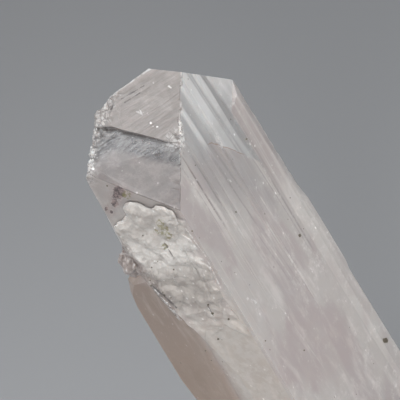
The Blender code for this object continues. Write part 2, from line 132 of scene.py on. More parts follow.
class CrystalSettings(bpy.types.PropertyGroup):
    """Sizes of the crystal's fine surface."""

    crust_mesh: FloatProperty(
        name="Crust mesh", description="Longest mesh edge on the crust",
        default=0.24 * MM, min=0.1 * MM, max=2.0 * MM, unit="LENGTH",
    )
    plain_mesh: FloatProperty(
        name="Face mesh", description="Longest mesh edge on the flat faces",
        default=1.3 * MM, min=0.3 * MM, max=9.0 * MM, unit="LENGTH",
    )
    edge_mesh: FloatProperty(
        name="Edge mesh", description="Longest mesh edge along the worn edges",
        default=0.32 * MM, min=0.1 * MM, max=2.0 * MM, unit="LENGTH",
    )
    edge_wear: FloatProperty(
        name="Edge wear", description="Depth of the nicks along the edges",
        default=0.13 * MM, min=0.0, max=0.5 * MM, unit="LENGTH",
    )
    crust_grain: FloatProperty(
        name="Crust grain", description="Height of the fine grains on the crust",
        default=0.08 * MM, min=0.0, max=1.0 * MM, unit="LENGTH",
    )
    break_grain: FloatProperty(
        name="Break grain", description="Height of the splinters on the broken shoulder",
        default=0.30 * MM, min=0.0, max=1.0 * MM, unit="LENGTH",
    )
    growth_step: FloatProperty(
        name="Growth step", description="Deepest of the fine growth lines",
        default=0.05 * MM, min=0.0, max=0.3 * MM, unit="LENGTH",
    )
    seed: IntProperty(
        name="Seed", description="Which of the many irregular surfaces is grown",
        default=7, min=0,
    )


class ColourSettings(bpy.types.PropertyGroup):
    """Colours of the crystal's substance."""

    milk: FloatVectorProperty(
        name="Milky body", description="Colour of the milky, pinkish body",
        default=(0.56, 0.53, 0.515), size=3, min=0.0, max=1.0, subtype="COLOR",
    )
    crust: FloatVectorProperty(
        name="Crust", description="Colour of the white crust",
        default=(0.57, 0.55, 0.525), size=3, min=0.0, max=1.0, subtype="COLOR",
    )
    amber: FloatVectorProperty(
        name="Amber", description="Colour of the brown lower left side",
        default=(0.43, 0.325, 0.255), size=3, min=0.0, max=1.0, subtype="COLOR",
    )
    speck: FloatVectorProperty(
        name="Specks", description="Colour of the dark specks",
        default=(0.075, 0.06, 0.035), size=3, min=0.0, max=1.0, subtype="COLOR",
    )


class StageSettings(bpy.types.PropertyGroup):
    """Floor, lights and camera."""

    floor: FloatVectorProperty(
        name="Floor", description="Colour of the plain floor",
        default=(0.226, 0.231, 0.240), size=3, min=0.0, max=1.0, subtype="COLOR",
    )
    camera_height: FloatProperty(
        name="Camera height", description="How steeply the camera looks down",
        default=math.radians(SIGHT_HEIGHT), subtype="ANGLE",
    )
    camera_heading: FloatProperty(
        name="Camera heading", description="How far the camera looks past +Y",
        default=math.radians(SIGHT_HEADING), subtype="ANGLE",
    )
    camera_roll: FloatProperty(
        name="Camera roll", description="How far the camera is rolled to its left",
        default=math.radians(SIGHT_ROLL), subtype="ANGLE",
    )
    camera_distance: FloatProperty(
        name="Camera distance", description="From the camera to the picture's middle",
        default=SIGHT_REACH * MM, min=0.1, unit="LENGTH",
    )


class Wire:
    """A value in a material that Python's arithmetic works on."""

    def __init__(self, kit, socket):
        self.kit = kit
        self.socket = socket

    def math(self, operation, *values):
        """One Math node on values and wires."""
        return self.kit.node("ShaderNodeMath", {"operation": operation}, dict(enumerate(values)))

    def __add__(self, other):
        return self.math("ADD", self, other)

    def __radd__(self, other):
        return self.math("ADD", other, self)

    def __sub__(self, other):
        return self.math("SUBTRACT", self, other)

    def __rsub__(self, other):
        return self.math("SUBTRACT", other, self)

    def __mul__(self, other):
        return self.math("MULTIPLY", self, other)

    def __rmul__(self, other):
        return self.math("MULTIPLY", other, self)

    def __truediv__(self, other):
        return self.math("DIVIDE", self, other)

    def __rtruediv__(self, other):
        return self.math("DIVIDE", other, self)

    def __abs__(self):
        return self.math("ABSOLUTE", self)

    def capped(self):
        """Kept between 0 and 1."""
        return self.smaller(1.0).larger(0.0)

    def larger(self, other):
        return self.math("MAXIMUM", self, other)

    def smaller(self, other):
        return self.math("MINIMUM", self, other)

    def rising(self, low, high):
        """0 below low, 1 above high, smooth between; falls where low is the larger."""
        settings = {"interpolation_type": "SMOOTHSTEP", "clamp": False}
        if low < high:
            return self.kit.node("ShaderNodeMapRange", settings, {0: self, 1: low, 2: high})
        falling = {0: self, 1: high, 2: low, 3: 1.0, 4: 0.0}
        return self.kit.node("ShaderNodeMapRange", settings, falling)

    def between(self, low, high, edge):
        """1 between low and high, with soft edges."""
        return self.rising(low - edge, low + edge) * self.rising(high + edge, high - edge)


class Kit:
    """Makes the nodes of one material."""

    def __init__(self, name):
        self.material = bpy.data.materials.new(name)
        self.material.use_nodes = True
        self.tree = self.material.node_tree
        self.tree.nodes.clear()

    def node(self, kind, settings=None, inputs=None, output=0):
        """Adds a node, sets it, then its sockets, and returns one output."""
        made = self.tree.nodes.new(kind)
        for name, value in (settings or {}).items():
            if name == "stops":
                self.set_stops(made.color_ramp, value)
            else:
                setattr(made, name, value)
        for name, value in (inputs or {}).items():
            if isinstance(value, Wire):
                self.tree.links.new(value.socket, made.inputs[name])
            else:
                made.inputs[name].default_value = value
        return Wire(self, made.outputs[output]) if made.outputs else None

    def set_stops(self, ramp, stops):
        """Sets a ramp's stops, from pairs of place and brightness."""
        while len(ramp.elements) < len(stops):
            ramp.elements.new(1.0)
        for element, (position, value) in zip(ramp.elements, stops):
            element.position = position
            element.color = (value, value, value, 1.0)

    def vector(self, operation, *values, output=0):
        """One Vector Math node on values and wires."""
        settings = {"operation": operation}
        return self.node("ShaderNodeVectorMath", settings, dict(enumerate(values)), output)

    def dot(self, vector, direction):
        return self.vector("DOT_PRODUCT", vector, tuple(direction), output="Value")

    def distance(self, place, spot):
        """How far a place is from a spot."""
        return self.vector("DISTANCE", place, spot, output="Value")

    def scaled(self, vector, share):
        """A vector times one value."""
        settings = {"operation": "SCALE"}
        return self.node("ShaderNodeVectorMath", settings, {0: vector, "Scale": share})

    def stretched(self, place, scale, shift=(0.0, 0.0, 0.0)):
        """A place times a scale for each axis, then shifted."""
        return self.vector("MULTIPLY_ADD", place, tuple(scale), tuple(shift))

    def clouds(self, place, size, detail=3.0, rough=0.55, warp=0.0):
        """Soft noise from 0 to 1 with features of one size."""
        inputs = {
            "Vector": place, "Scale": 1.0 / size, "Detail": detail,
            "Roughness": rough, "Distortion": warp,
        }
        return self.node("ShaderNodeTexNoise", None, inputs)

    def cells(self, place, size, feature="F1", output="Distance"):
        """Cells of one size: the distance to a cell's middle or edge, or its own colour."""
        inputs = {"Vector": place, "Scale": 1.0 / size}
        return self.node("ShaderNodeTexVoronoi", {"feature": feature}, inputs, output)

    def red(self, colour):
        """The red share of a colour, as a plain value."""
        return self.node("ShaderNodeSeparateColor", None, {0: colour})

    def blend(self, share, first, second):
        """The first colour where share is 0, the second where it is 1."""
        inputs = {0: share, 6: self.colour(first), 7: self.colour(second)}
        return self.node("ShaderNodeMix", {"data_type": "RGBA"}, inputs, 2)

    def colour(self, value):
        """A colour as its socket takes it, with its alpha."""
        if isinstance(value, Wire):
            return value
        return (*value[:3], 1.0)


class Places:
    """Where a point lies on the crystal, in millimetres, and which faces it is on."""

    def __init__(self, kit):
        thing = kit.node("ShaderNodeTexCoord", output="Object")
        self.point = kit.stretched(thing, (1.0 / MM,) * 3, -EDGE)
        self.x = kit.dot(self.point, (1.0, 0.0, 0.0))
        self.y = kit.dot(self.point, (0.0, 1.0, 0.0))
        self.height = kit.dot(self.point, (0.0, 0.0, 1.0))
        self.wide = kit.dot(self.point, WIDE_ALONG)
        self.wide_out = kit.dot(self.point, WIDE)
        self.narrow = kit.dot(self.point, NARROW_ALONG)
        self.narrow_out = kit.dot(self.point, NARROW)
        corner = kit.vector("SUBTRACT", self.point, tuple(CORNER))
        self.uphill = kit.dot(corner, DOME_UPHILL)
        self.dome_out = kit.dot(corner, DOME)
        self.plan = self.front_plan(kit)
        self.front = kit.dot(self.point, FRONT_TO_BACK).rising(13.5, 12.5)

        inner = self.wide_out.larger(self.narrow_out).rising(-0.3, -0.6)
        hollow = self.dome_out.rising(-1.8, -1.4) * inner
        self.on_dome = self.dome_out.rising(-0.24, -0.12).larger(hollow)
        off_dome = 1.0 - self.on_dome
        self.on_wide = self.wide_out.rising(-0.50, -0.36) * off_dome
        self.on_narrow = self.narrow_out.rising(-0.9, -0.5) * off_dome * (1.0 - self.on_wide)
        self.crust = kit.node("ShaderNodeAttribute", {"attribute_name": "crust"}, output="Fac")
        self.broken = kit.node("ShaderNodeAttribute", {"attribute_name": "broken"}, output="Fac")

    def front_plan(self, kit):
        """The point as the front sight shows it: right and down from the middle."""
        angles = (math.radians(angle) for angle in (SIGHT_HEADING, SIGHT_HEIGHT, SIGHT_ROLL))
        level_right, level_up, right, up, forward = sight_axes(*angles)
        middle = CORNER + level_right * SIGHT_RIGHT - level_up * SIGHT_DOWN
        seen = kit.vector("SUBTRACT", self.point, tuple(middle))
        flat = kit.node("ShaderNodeCombineXYZ", None, {
            0: kit.dot(seen, right), 1: kit.dot(seen, -up),
        })
        return kit.scaled(flat, SIGHT_REACH / (kit.dot(seen, forward) + SIGHT_REACH))


# Treads and bands of the wide face's glassy top, whose bright bands are partly painted
# reflection of the lights: distance from the front edge in millimetres, then brightness
GLASSY_BANDS = (
    (0.0, 0.30), (4.4, 0.42), (4.9, 0.22), (5.6, 0.45), (7.9, 0.50), (8.3, 0.28),
    (10.7, 0.32), (11.1, 0.95), (11.5, 0.90), (11.8, 0.30), (13.4, 0.42), (13.9, 0.92),
    (15.9, 0.98), (16.15, 0.35), (16.45, 0.72), (16.75, 0.30), (17.1, 0.88),
    (18.0, 0.90), (18.3, 0.15), (19.2, 0.18), (19.5, 0.70), (22.8, 0.78),
)
BAND_REACH = 24.0

# Dark growth lines of the wide face: place at the upper end and at the lower end,
# upper height, lower height, half width and strength
DARK_LINES = (
    (4.9, 5.2, 63.4, 50.0, 0.16, 0.55),
    (6.05, 6.3, 63.0, 48.5, 0.18, 0.75),
    (7.75, 8.0, 62.5, 50.5, 0.34, 0.80),
    (9.4, 9.9, 60.0, 47.0, 0.12, 0.45),
    (11.1, 12.1, 58.8, 44.0, 0.40, 0.70),
    (12.6, 13.4, 57.5, 48.0, 0.30, 0.55),
    (14.0, 14.2, 56.0, 49.0, 0.26, 0.55),
    (18.4, 18.9, 54.5, 33.0, 0.20, 0.50),
    (19.4, 19.5, 61.5, 32.0, 0.28, 0.75),
    (11.0, 12.0, 43.8, 32.4, 0.18, 0.45),
    (12.6, 13.4, 43.0, 31.0, 0.16, 0.35),
)
PALE_LINES = (
    (11.4, 11.5, 63.5, 58.6, 0.14, 0.9),
    (8.9, 9.5, 50.0, 38.0, 0.16, 0.5),
    (13.9, 14.8, 42.4, 29.0, 0.28, 0.7),
    (11.9, 12.5, 43.8, 32.4, 0.22, 0.6),
    (15.5, 16.2, 47.0, 36.0, 0.16, 0.5),
    (6.6, 8.4, 40.0, 22.0, 0.18, 0.45),
    (22.4, 23.0, 47.0, 29.0, 0.75, 0.6),
)

# Marks in the plan of the front sight: right and down from its middle, and the radius
SPECKS = (
    (-6.19, 10.12, 0.10), (-6.05, 10.79, 0.13), (-4.60, 11.58, 0.10),
    (-4.43, 11.98, 0.13), (-8.16, 10.79, 0.16), (-8.43, 10.52, 0.12),
    (1.57, 14.29, 0.14), (1.05, 13.16, 0.10), (-11.71, 1.31, 0.12),
    (-11.57, -1.71, 0.10), (-0.93, 3.95, 0.12), (-14.62, -3.02, 0.12),
    (12.50, 4.48, 0.20), (1.65, 14.24, 0.14), (3.62, 14.94, 0.13),
    (2.30, 17.46, 0.16), (13.06, 18.85, 0.12), (23.19, 17.62, 0.36),
    (0.73, 18.91, 0.10), (8.23, 17.66, 0.10), (5.85, -7.56, 0.16),
    (-3.62, 12.25, 0.10), (-5.25, 7.75, 0.10), (-6.00, 8.50, 0.10),
    (-3.25, 8.75, 0.10), (-7.12, 4.50, 0.10), (4.54, 1.57, 0.12),
)
ROSY_SPOT = (14.00, 18.75, 4.60)
PURPLE_SPOTS = (
    (-10.12, -0.81, 0.80), (-10.56, 0.44, 0.50), (-11.00, 1.50, 0.28),
    (-11.62, 1.12, 0.24),
)
GREEN_SPOTS = (
    (-9.12, -0.56, 0.50), (-4.88, 3.00, 0.50), (-4.50, 3.75, 0.65),
    (-4.00, 4.50, 0.50), (-4.38, 5.88, 0.40), (-5.38, 4.00, 0.35),
)
# Lines in the same plan: start, end, half width
DARK_STROKES = (
    (-9.78, -12.56, -6.98, -14.21, 0.05), (-9.38, -12.12, -7.38, -13.38, 0.04),
    (-2.80, -10.26, -2.64, -9.28, 0.07), (-11.09, -11.25, -10.75, -11.75, 0.10),
    (-11.75, -8.95, -11.57, -8.62, 0.12), (-4.44, 5.43, -4.00, 5.94, 0.08),
    (-3.90, 6.25, -3.39, 7.08, 0.05),
    (-8.32, 10.52, -7.82, 11.35, 0.20), (-6.02, 10.69, -2.90, 13.49, 0.10),
    (1.05, 13.33, 1.71, 14.48, 0.05),
)
# Painted shadow, brown and speckled, along the underside of the crust's shelf
SHELF_SHADOW_STROKES = (
    (-9.47, 6.50, -8.81, 7.88, 0.90), (-8.81, 8.00, -6.19, 10.38, 0.90),
    (-6.19, 10.38, -3.00, 14.12, 0.40),
)
# White strokes: partly painted highlights and glints, such as the bright line down the front edge,
# partly white marks
WHITE_STROKES = (
    (-2.48, -9.88, -2.00, -6.65, 0.28), (-7.56, -11.25, -7.14, -10.59, 0.09),
    (-7.94, -11.06, -7.38, -10.75, 0.08), (-5.69, 11.19, -2.40, 15.06, 0.14),
    (-1.75, 3.62, 0.73, 7.08, 0.06), (0.73, 7.08, 2.70, 11.19, 0.06),
    (2.00, -8.12, 2.75, -6.62, 0.30), (-13.50, -6.25, -13.69, -4.00, 0.34),
    (-3.88, -14.19, -3.62, -14.00, 0.12), (-0.44, -2.50, -0.31, -2.31, 0.12),
    (3.62, -2.50, 3.88, -2.25, 0.14), (6.00, 12.38, 7.00, 12.88, 0.18),
)

# From the front of the crystal to its back
FRONT_TO_BACK = (-0.34, 0.94, 0.0)
# The lobe at the crust's left end
LOBE_CENTRE = Vector((-8.3, 9.6, 49.4))
# The dome's split corner: its X and its way up the slope
SPLIT_CORNER = (4.6, 7.4)
# Sizes of the flakes that glint and of the shards
FLAKE = 0.40
SHARD = 0.34


def streak(at, along, upper, lower, top, foot, half, strength):
    """A soft line that runs down a face from one place to another."""
    share = (top - at.height) / (top - foot)
    middle = share * (lower - upper) + upper
    offset = abs(along - middle)
    body = offset.rising(half, half * 0.25)
    ends = at.height.rising(foot - 1.5, foot + 2.5) * at.height.rising(top + 0.8, top - 0.2)
    return body * ends * strength


def blot(kit, at, right, down, radius, wobble):
    """A ragged blot in the plan of the front sight."""
    away = kit.distance(at.plan, (right, down, 0.0))
    return (away + (wobble - 0.5) * radius * 2.0).rising(radius * 1.25, radius * 0.75)


def stroke(kit, at, x1, y1, x2, y2, half, wobble):
    """A ragged line in the plan of the front sight."""
    run = Vector((x2 - x1, y2 - y1, 0.0))
    away = kit.vector("SUBTRACT", at.plan, (x1, y1, 0.0))
    share = kit.dot(away, run / run.length_squared).capped()
    apart = kit.distance(away, kit.scaled(run, share))
    return (apart + (wobble - 0.5) * (half * 2.0 + 0.3)).rising(half * 1.3, half * 0.6)


def together(masks):
    """The strongest of several masks, each made only when it is its turn."""
    total = None
    for mask in masks:
        total = mask if total is None else total.larger(mask)
    return total


def dome_place(x, uphill):
    """A place on the front dome, from its X and its way up the slope."""
    return CORNER + Vector((x, 0.0, 0.0)) + DOME_UPHILL * uphill


# Tints of the zones: red, green and blue
ROSE_MILK = (0.49, 0.445, 0.44)
PALE_VEIL = (0.64, 0.62, 0.60)
DEEP_VEIL = (0.42, 0.375, 0.37)
WHITE_GRAIN = (0.72, 0.705, 0.685)
DULL_CURD = (0.45, 0.40, 0.385)
# Partly white frosting, partly painted highlight where the right side faces the light
PALE_RIM = (0.56, 0.55, 0.535)
BEIGE = (0.59, 0.53, 0.475)
SMOOTH_GREY = (0.42, 0.395, 0.385)
CHALK = (0.66, 0.635, 0.605)
ROSE = (0.475, 0.41, 0.405)
GREY_MILK = (0.395, 0.38, 0.38)
DARK_LINE = (0.27, 0.25, 0.255)
PALE_LINE = (0.74, 0.72, 0.70)
STRIP_TINTS = ((0.39, 0.355, 0.35), (0.56, 0.53, 0.52))
# The pale tint is partly painted reflection of the lights
GLASS_TINTS = ((0.37, 0.375, 0.38), (0.86, 0.865, 0.87))
LOW_GLASS = (0.40, 0.40, 0.405)
TOP_LEFT_GREY = (0.47, 0.455, 0.45)
RUSTY_CRACK = (0.36, 0.24, 0.20)
DOME_TINTS = ((0.265, 0.245, 0.235), (0.335, 0.31, 0.297))
SMOKE_TINTS = ((0.185, 0.172, 0.172), (0.255, 0.235, 0.23))
HOLLOW_TINTS = ((0.15, 0.157, 0.17), (0.27, 0.277, 0.285))
HATCH_DARK = (0.06, 0.06, 0.065)
HATCH_PALE = (0.50, 0.51, 0.52)
# Painted shade in the step just below the dome's ledge
LEDGE_SHADE = (0.05, 0.045, 0.045)
SHARD_TINTS = ((0.26, 0.25, 0.245), (0.58, 0.57, 0.56))
SHARD_GAP = (0.10, 0.09, 0.09)
# Painted highlight along the dome's edges
RIM_HIGHLIGHT = (0.80, 0.79, 0.785)
CRUST_WHITE = (0.67, 0.65, 0.63)
CRUST_HOLLOW = (0.44, 0.41, 0.385)
CRUST_GRAIN = (0.26, 0.235, 0.22)
CRUST_END_TINTS = ((0.30, 0.272, 0.255), (0.40, 0.37, 0.345))
HIGH_AMBER = (0.36, 0.275, 0.225)
DEEP_AMBER = (0.30, 0.215, 0.165)
PALE_AMBER = (0.50, 0.43, 0.37)
LOBE_TINTS = ((0.33, 0.28, 0.27), (0.56, 0.51, 0.49))
# Painted shadow under the crust's shelf
SHELF_SHADOW_TINTS = ((0.15, 0.125, 0.115), (0.30, 0.26, 0.245))
# Partly painted highlights and glints, partly white marks
WHITE_MARK_AND_HIGHLIGHT = (0.84, 0.83, 0.82)
SLIT_DARK = (0.09, 0.08, 0.08)
HALO = (0.40, 0.335, 0.325)
PURPLE_TINTS = ((0.045, 0.032, 0.036), (0.27, 0.21, 0.205))
MOSS = (0.22, 0.20, 0.085)
GLINT_WHITE = (0.98, 0.98, 0.97)
GLASS = (0.985, 0.955, 0.94)
ABSORPTION = (0.88, 0.80, 0.77)
ABSORPTION_DENSITY = 22.0
IOR = 1.63
SCATTER_RADIUS = (0.0022, 0.0018, 0.0016)


class Substance:
    """The crystal's substance: glassy and milky, with its zones laid on one by one."""

    def __init__(self, colours):
        self.colours = colours
        self.kit = kit = Kit("danburite_fine")
        self.at = Places(kit)
        point = self.at.point
        flakes = kit.stretched(point, (1.0, 1.0, 0.7))
        self.wander = kit.clouds(point, 2.6, 3.0, 0.6)
        self.veils = kit.clouds(kit.stretched(point, (1.0, 1.0, 0.30)), 2.4, 4.0, 0.6, 0.3)
        self.patches = kit.clouds(kit.stretched(point, (1.0, 1.0, 0.55)), 6.0, 2.0, 0.5, 0.5)
        self.fine = kit.clouds(point, 0.8, 4.0, 0.7)
        self.curds = kit.clouds(point, 1.5, 5.0, 0.72)
        self.speckle = kit.clouds(point, 0.45, 3.0, 0.7)
        self.ridged = kit.clouds(kit.stretched(point, (0.14, 1.0, 1.0)), 0.55, 3.0, 0.6)
        self.grain = kit.cells(point, 0.5)
        self.pick = kit.red(kit.cells(flakes, FLAKE, output="Color"))
        self.flake = kit.cells(flakes, FLAKE)

    def lay(self, share, tint):
        """Lays a tint over the body where its share is 1."""
        self.body = self.kit.blend(share, self.body, tint)

    def marks(self, mark, table, wobble):
        """The marks of one table, on the front of the crystal."""
        return together(mark(self.kit, self.at, *row, wobble) for row in table) * self.at.front

    def lay_milk(self):
        """Rosy milk with veils and strewn grains."""
        at = self.at
        low = at.height.rising(46.0, 30.0)
        outer = at.wide.rising(14.0, 22.0) * at.on_wide
        white = self.patches.rising(0.42, 0.56)
        self.body = self.kit.blend(white, ROSE_MILK, self.colours.milk)
        self.lay(self.veils.rising(0.48, 0.68) * 0.18, PALE_VEIL)
        self.lay(self.veils.rising(0.45, 0.30) * 0.12, DEEP_VEIL)
        self.strewn = self.curds.rising(0.45, 0.66) * self.wander.rising(0.44, 0.62)
        self.granular = self.strewn * (0.16 + low * 0.08 + outer * 0.26)
        self.granular = self.granular * (0.4 + self.speckle.rising(0.35, 0.65) * 1.2)
        self.lay(self.granular, WHITE_GRAIN)
        self.lay(self.curds.rising(0.48, 0.30) * low * 0.15, DULL_CURD)

    def lay_face_tones(self):
        """The right edge's pale rim, partly white frosting and partly painted highlight, the narrow
        face's tones and the rosy spot.
        """
        at = self.at
        # Pale rim: partly white frosting, partly painted highlight where the right side faces the
        # light
        rim = at.wide.rising(19.6, 22.2) * at.on_wide * at.height.rising(49.0, 44.0)
        self.lay(rim * 0.45, PALE_RIM)
        beige = at.on_narrow * at.height.rising(46.0, 36.0) * at.narrow.rising(10.0, 6.5)
        self.lay(beige * 0.75, BEIGE)
        smooth = at.on_narrow * (at.height + (self.wander - 0.5) * 4.0).rising(52.0, 55.0)
        self.lay(smooth * 0.8, SMOOTH_GREY)
        reach = at.height.between(24.0, 54.8, 2.0) + at.narrow.between(9.5, 12.5, 0.6) * 0.8
        chalk = at.on_narrow * reach.capped() * self.curds.rising(0.40, 0.58)
        self.lay(chalk * at.height.rising(58.5, 56.5) * 0.55, CHALK)
        right, down, radius = ROSY_SPOT
        rosy = self.kit.distance(at.plan, (right, down, 0.0))
        rosy = (rosy + (self.patches - 0.5) * 3.0).rising(radius * 1.3, radius * 0.8)
        self.lay(rosy * at.on_wide * 0.5, ROSE)

    def lay_growth_lines(self):
        """Dark and pale growth lines of the wide face, on a greyer zone."""
        at = self.at
        dark = together(streak(at, at.wide, *line) for line in DARK_LINES) * at.on_wide
        pale = together(streak(at, at.wide, *line) for line in PALE_LINES) * at.on_wide
        crack = (61.0 - (at.wide - 7.95) * 0.66).smaller(57.6 - (at.wide - 13.1) * 1.47)
        self.above = at.height - crack + (self.wander - 0.5) * 1.0
        grey = self.above.rising(-15.0, -5.0) * at.wide.rising(5.5, 8.5)
        self.lay(grey * at.wide.rising(19.2, 17.0) * at.on_wide * 0.8, GREY_MILK)
        self.lay(dark * self.fine.rising(0.30, 0.52) * 0.8, DARK_LINE)
        self.lay(pale * self.fine.rising(0.36, 0.56) * 0.8, PALE_LINE)

    def lay_glassy_top(self):
        """The banded glass above the crack, its bright bands partly painted reflection, the right
        strip and the crack itself.
        """
        kit, at = self.kit, self.at
        fading = self.above.rising(-3.5, 0.8)
        sharp = self.above.rising(-0.45, 0.35)
        glassy = fading + (sharp - fading) * at.wide.rising(10.5, 13.0)
        edge = (at.height - 56.80).larger(0.0) * 1.638 + 19.50
        strip = (at.wide - edge + (self.wander - 0.5) * 0.2).rising(-0.08, 0.10) * at.on_wide
        strip = strip * at.height.rising(38.0, 48.0)
        self.glassy = glassy * at.on_wide * at.wide.rising(7.0, 9.0) * (1.0 - strip)
        threads = kit.clouds(kit.stretched(at.point, (1.0, 1.0, 0.03)), 0.8, 2.0, 0.6)
        self.lay(strip * 0.8, kit.blend(threads.rising(0.40, 0.60), *STRIP_TINTS))
        # Bright bands: partly painted reflection of the lights on the treads, dimmer lower down
        stops = [(place / BAND_REACH, value) for place, value in GLASSY_BANDS]
        slanted = at.wide + (at.height - 60.0) * 0.06 + (self.wander - 0.5) * 0.2
        band = kit.node("ShaderNodeValToRGB", {"stops": stops}, {0: slanted / BAND_REACH})
        tint = kit.blend(kit.red(band), *GLASS_TINTS)
        tint = kit.blend(at.height.rising(61.0, 57.5) * 0.45, tint, LOW_GLASS)
        self.lay(self.glassy * 0.92, tint)
        top_left = at.on_wide * at.wide.rising(8.5, 7.0) * at.height.rising(59.0, 62.0)
        self.lay(top_left * 0.7, TOP_LEFT_GREY)
        line = abs(self.above).rising(0.15, 0.05) * at.on_wide
        self.lay(line * at.wide.between(12.3, 17.2, 0.4) * 0.75, RUSTY_CRACK)

    def lay_dome(self):
        """The ribbed upper dome, the smoky lower dome, the hollow below the ledge and the painted
        shade in its step.
        """
        kit, at = self.kit, self.at
        edge = at.uphill - (12.7 - (at.x + 0.2) * 1.17).smaller(15.4)
        self.upper_dome = edge.rising(-0.1, 0.2) * at.on_dome
        self.lay(self.upper_dome * 0.9, kit.blend(self.ridged.rising(0.38, 0.66), *DOME_TINTS))
        self.low_dome = at.on_dome * (1.0 - self.upper_dome)
        self.lay(self.low_dome * 0.85, kit.blend(self.curds.rising(0.40, 0.62), *SMOKE_TINTS))
        self.hollow = edge.between(-4.2, 0.0, 0.9) * self.low_dome * at.x.rising(5.5, 3.5)
        tint = kit.blend(self.curds.rising(0.38, 0.60), *HOLLOW_TINTS)
        hatch = kit.clouds(kit.stretched(at.point, (0.35, 1.0, 1.0)), 0.32, 3.0, 0.7, 0.4)
        tint = kit.blend(hatch.rising(0.50, 0.40) * 0.7, tint, HATCH_DARK)
        tint = kit.blend(hatch.rising(0.56, 0.64) * 0.6, tint, HATCH_PALE)
        self.lay(self.hollow * 0.85, tint)
        # Painted shade: a near-black band in the step just below the ledge
        self.ledge = edge.between(-0.75, -0.05, 0.12) * self.low_dome * at.x.rising(5.0, 4.0)
        self.lay(self.ledge * self.fine.rising(0.40, 0.52) * 0.9, LEDGE_SHADE)

    def lay_shards(self):
        """Shattered places: the broken shoulder and the dome's split corner."""
        kit, at = self.kit, self.at
        splinters = kit.distance(at.point, tuple(dome_place(*SPLIT_CORNER)))
        splinters = (splinters + (self.curds - 0.5) * 5.0).rising(2.4, 0.4) * 0.85
        self.shattered = (splinters + at.broken * 0.9).capped()
        place = kit.stretched(at.point, (1.0, 1.0, 0.8))
        light = kit.red(kit.cells(place, SHARD, output="Color")) + (self.curds - 0.5) * 0.8
        self.lay(self.shattered * 0.7, kit.blend(light.rising(0.30, 0.80), *SHARD_TINTS))
        gaps = kit.cells(place, 1.0, "DISTANCE_TO_EDGE").rising(0.07, 0.01)
        self.lay(gaps * self.shattered * 0.6, SHARD_GAP)

    def lay_dome_rim_highlights(self):
        """Painted highlights: pale lines along the dome's upper and right edges."""
        kit, at = self.kit, self.at
        top = kit.dot(kit.vector("SUBTRACT", at.point, tuple(RIDGE)), BACK_DOME)
        top = top.rising(-0.34, -0.16) * at.on_dome * at.dome_out.rising(-0.2, -0.1)
        top = top * self.wander.rising(0.35, 0.55)
        side = at.wide_out.rising(-0.30, -0.12) * at.on_dome * self.fine.rising(0.44, 0.56)
        side = side * at.uphill.rising(3.0, 6.0)
        # Painted highlight, pale, along both of the dome's edges
        self.lay((top + side * 0.6).capped() * 0.7, RIM_HIGHLIGHT)

    def lay_crust(self):
        """The white crust, duller at both ends."""
        kit, at = self.kit, self.at
        tint = kit.blend(self.speckle.rising(0.40, 0.66), self.colours.crust, CRUST_WHITE)
        tint = kit.blend(self.curds.rising(0.50, 0.36) * 0.35, tint, CRUST_HOLLOW)
        tint = kit.blend(self.pick.rising(0.12, 0.08) * 0.4, tint, CRUST_GRAIN)
        ends = at.height.rising(52.0, 45.5) * 0.9 + at.height.rising(52.0, 55.5) * 0.5
        tint = kit.blend(ends, tint, kit.blend(self.curds.rising(0.40, 0.58), *CRUST_END_TINTS))
        cover = at.height.rising(38.0, 44.0) * 0.65 + 0.35
        self.lay(at.crust * cover, tint)

    def lay_amber_side(self):
        """The amber second crystal below the shelf, and the lobe."""
        kit, at = self.kit, self.at
        amber = (at.narrow + (self.wander - 0.5) * 1.6).rising(6.8, 10.8)
        amber = amber * at.height.rising(46.0, 43.0)
        self.amber = amber * (1.0 - at.crust) * at.y.rising(23.0, 16.5)
        tint = kit.blend(at.height.rising(24.0, 43.0), self.colours.amber, HIGH_AMBER)
        tint = kit.blend(self.patches.rising(0.50, 0.64) * 0.35, tint, DEEP_AMBER)
        tint = kit.blend(self.veils.rising(0.48, 0.70) * 0.30, tint, PALE_AMBER)
        self.lay(self.amber * 0.92, tint)
        lobe = kit.distance(at.point, tuple(LOBE_CENTRE))
        lobe = (lobe + (self.curds - 0.5) * 2.0).rising(3.4, 2.4)
        self.lay(lobe * 0.85, kit.blend(self.fine.rising(0.35, 0.65), *LOBE_TINTS))

    def lay_marks(self):
        """Painted shadow under the crust's shelf, white strokes that are partly painted highlights,
        dark strokes, and specks.
        """
        # Painted shadow along the underside of the crust's shelf
        shelf_shadow = self.marks(stroke, SHELF_SHADOW_STROKES, self.curds)
        self.lay(shelf_shadow * 0.65, self.kit.blend(self.speckle.rising(0.35, 0.65), *SHELF_SHADOW_TINTS))
        # Partly painted highlights and glints, partly white marks
        whites = self.marks(stroke, WHITE_STROKES, self.fine) * self.speckle.rising(0.42, 0.58)
        self.lay(whites * 0.85, WHITE_MARK_AND_HIGHLIGHT)
        slits = self.marks(stroke, DARK_STROKES, self.fine) * self.speckle.rising(0.34, 0.46)
        self.lay(slits * 0.8, SLIT_DARK)
        self.specks = self.marks(blot, SPECKS, self.fine)
        scattered = self.kit.cells(self.at.point, 2.3).rising(0.055, 0.03)
        self.lay(self.specks * 0.95, self.colours.speck)
        self.lay(scattered * 0.9, self.colours.speck)

    def lay_stains(self):
        """Purple spots with their halos, and mossy green spots."""
        for right, down, radius in PURPLE_SPOTS:
            halo = blot(self.kit, self.at, right, down, radius * 2.0, self.curds)
            self.lay(halo * self.at.front * 0.2, HALO)
        self.purple = self.marks(blot, PURPLE_SPOTS, self.fine)
        self.lay(self.purple * 0.9, self.kit.blend(self.speckle.rising(0.40, 0.60), *PURPLE_TINTS))
        moss = self.marks(blot, GREEN_SPOTS, self.fine) * self.speckle.rising(0.58, 0.46)
        self.lay(moss * 0.7, MOSS)

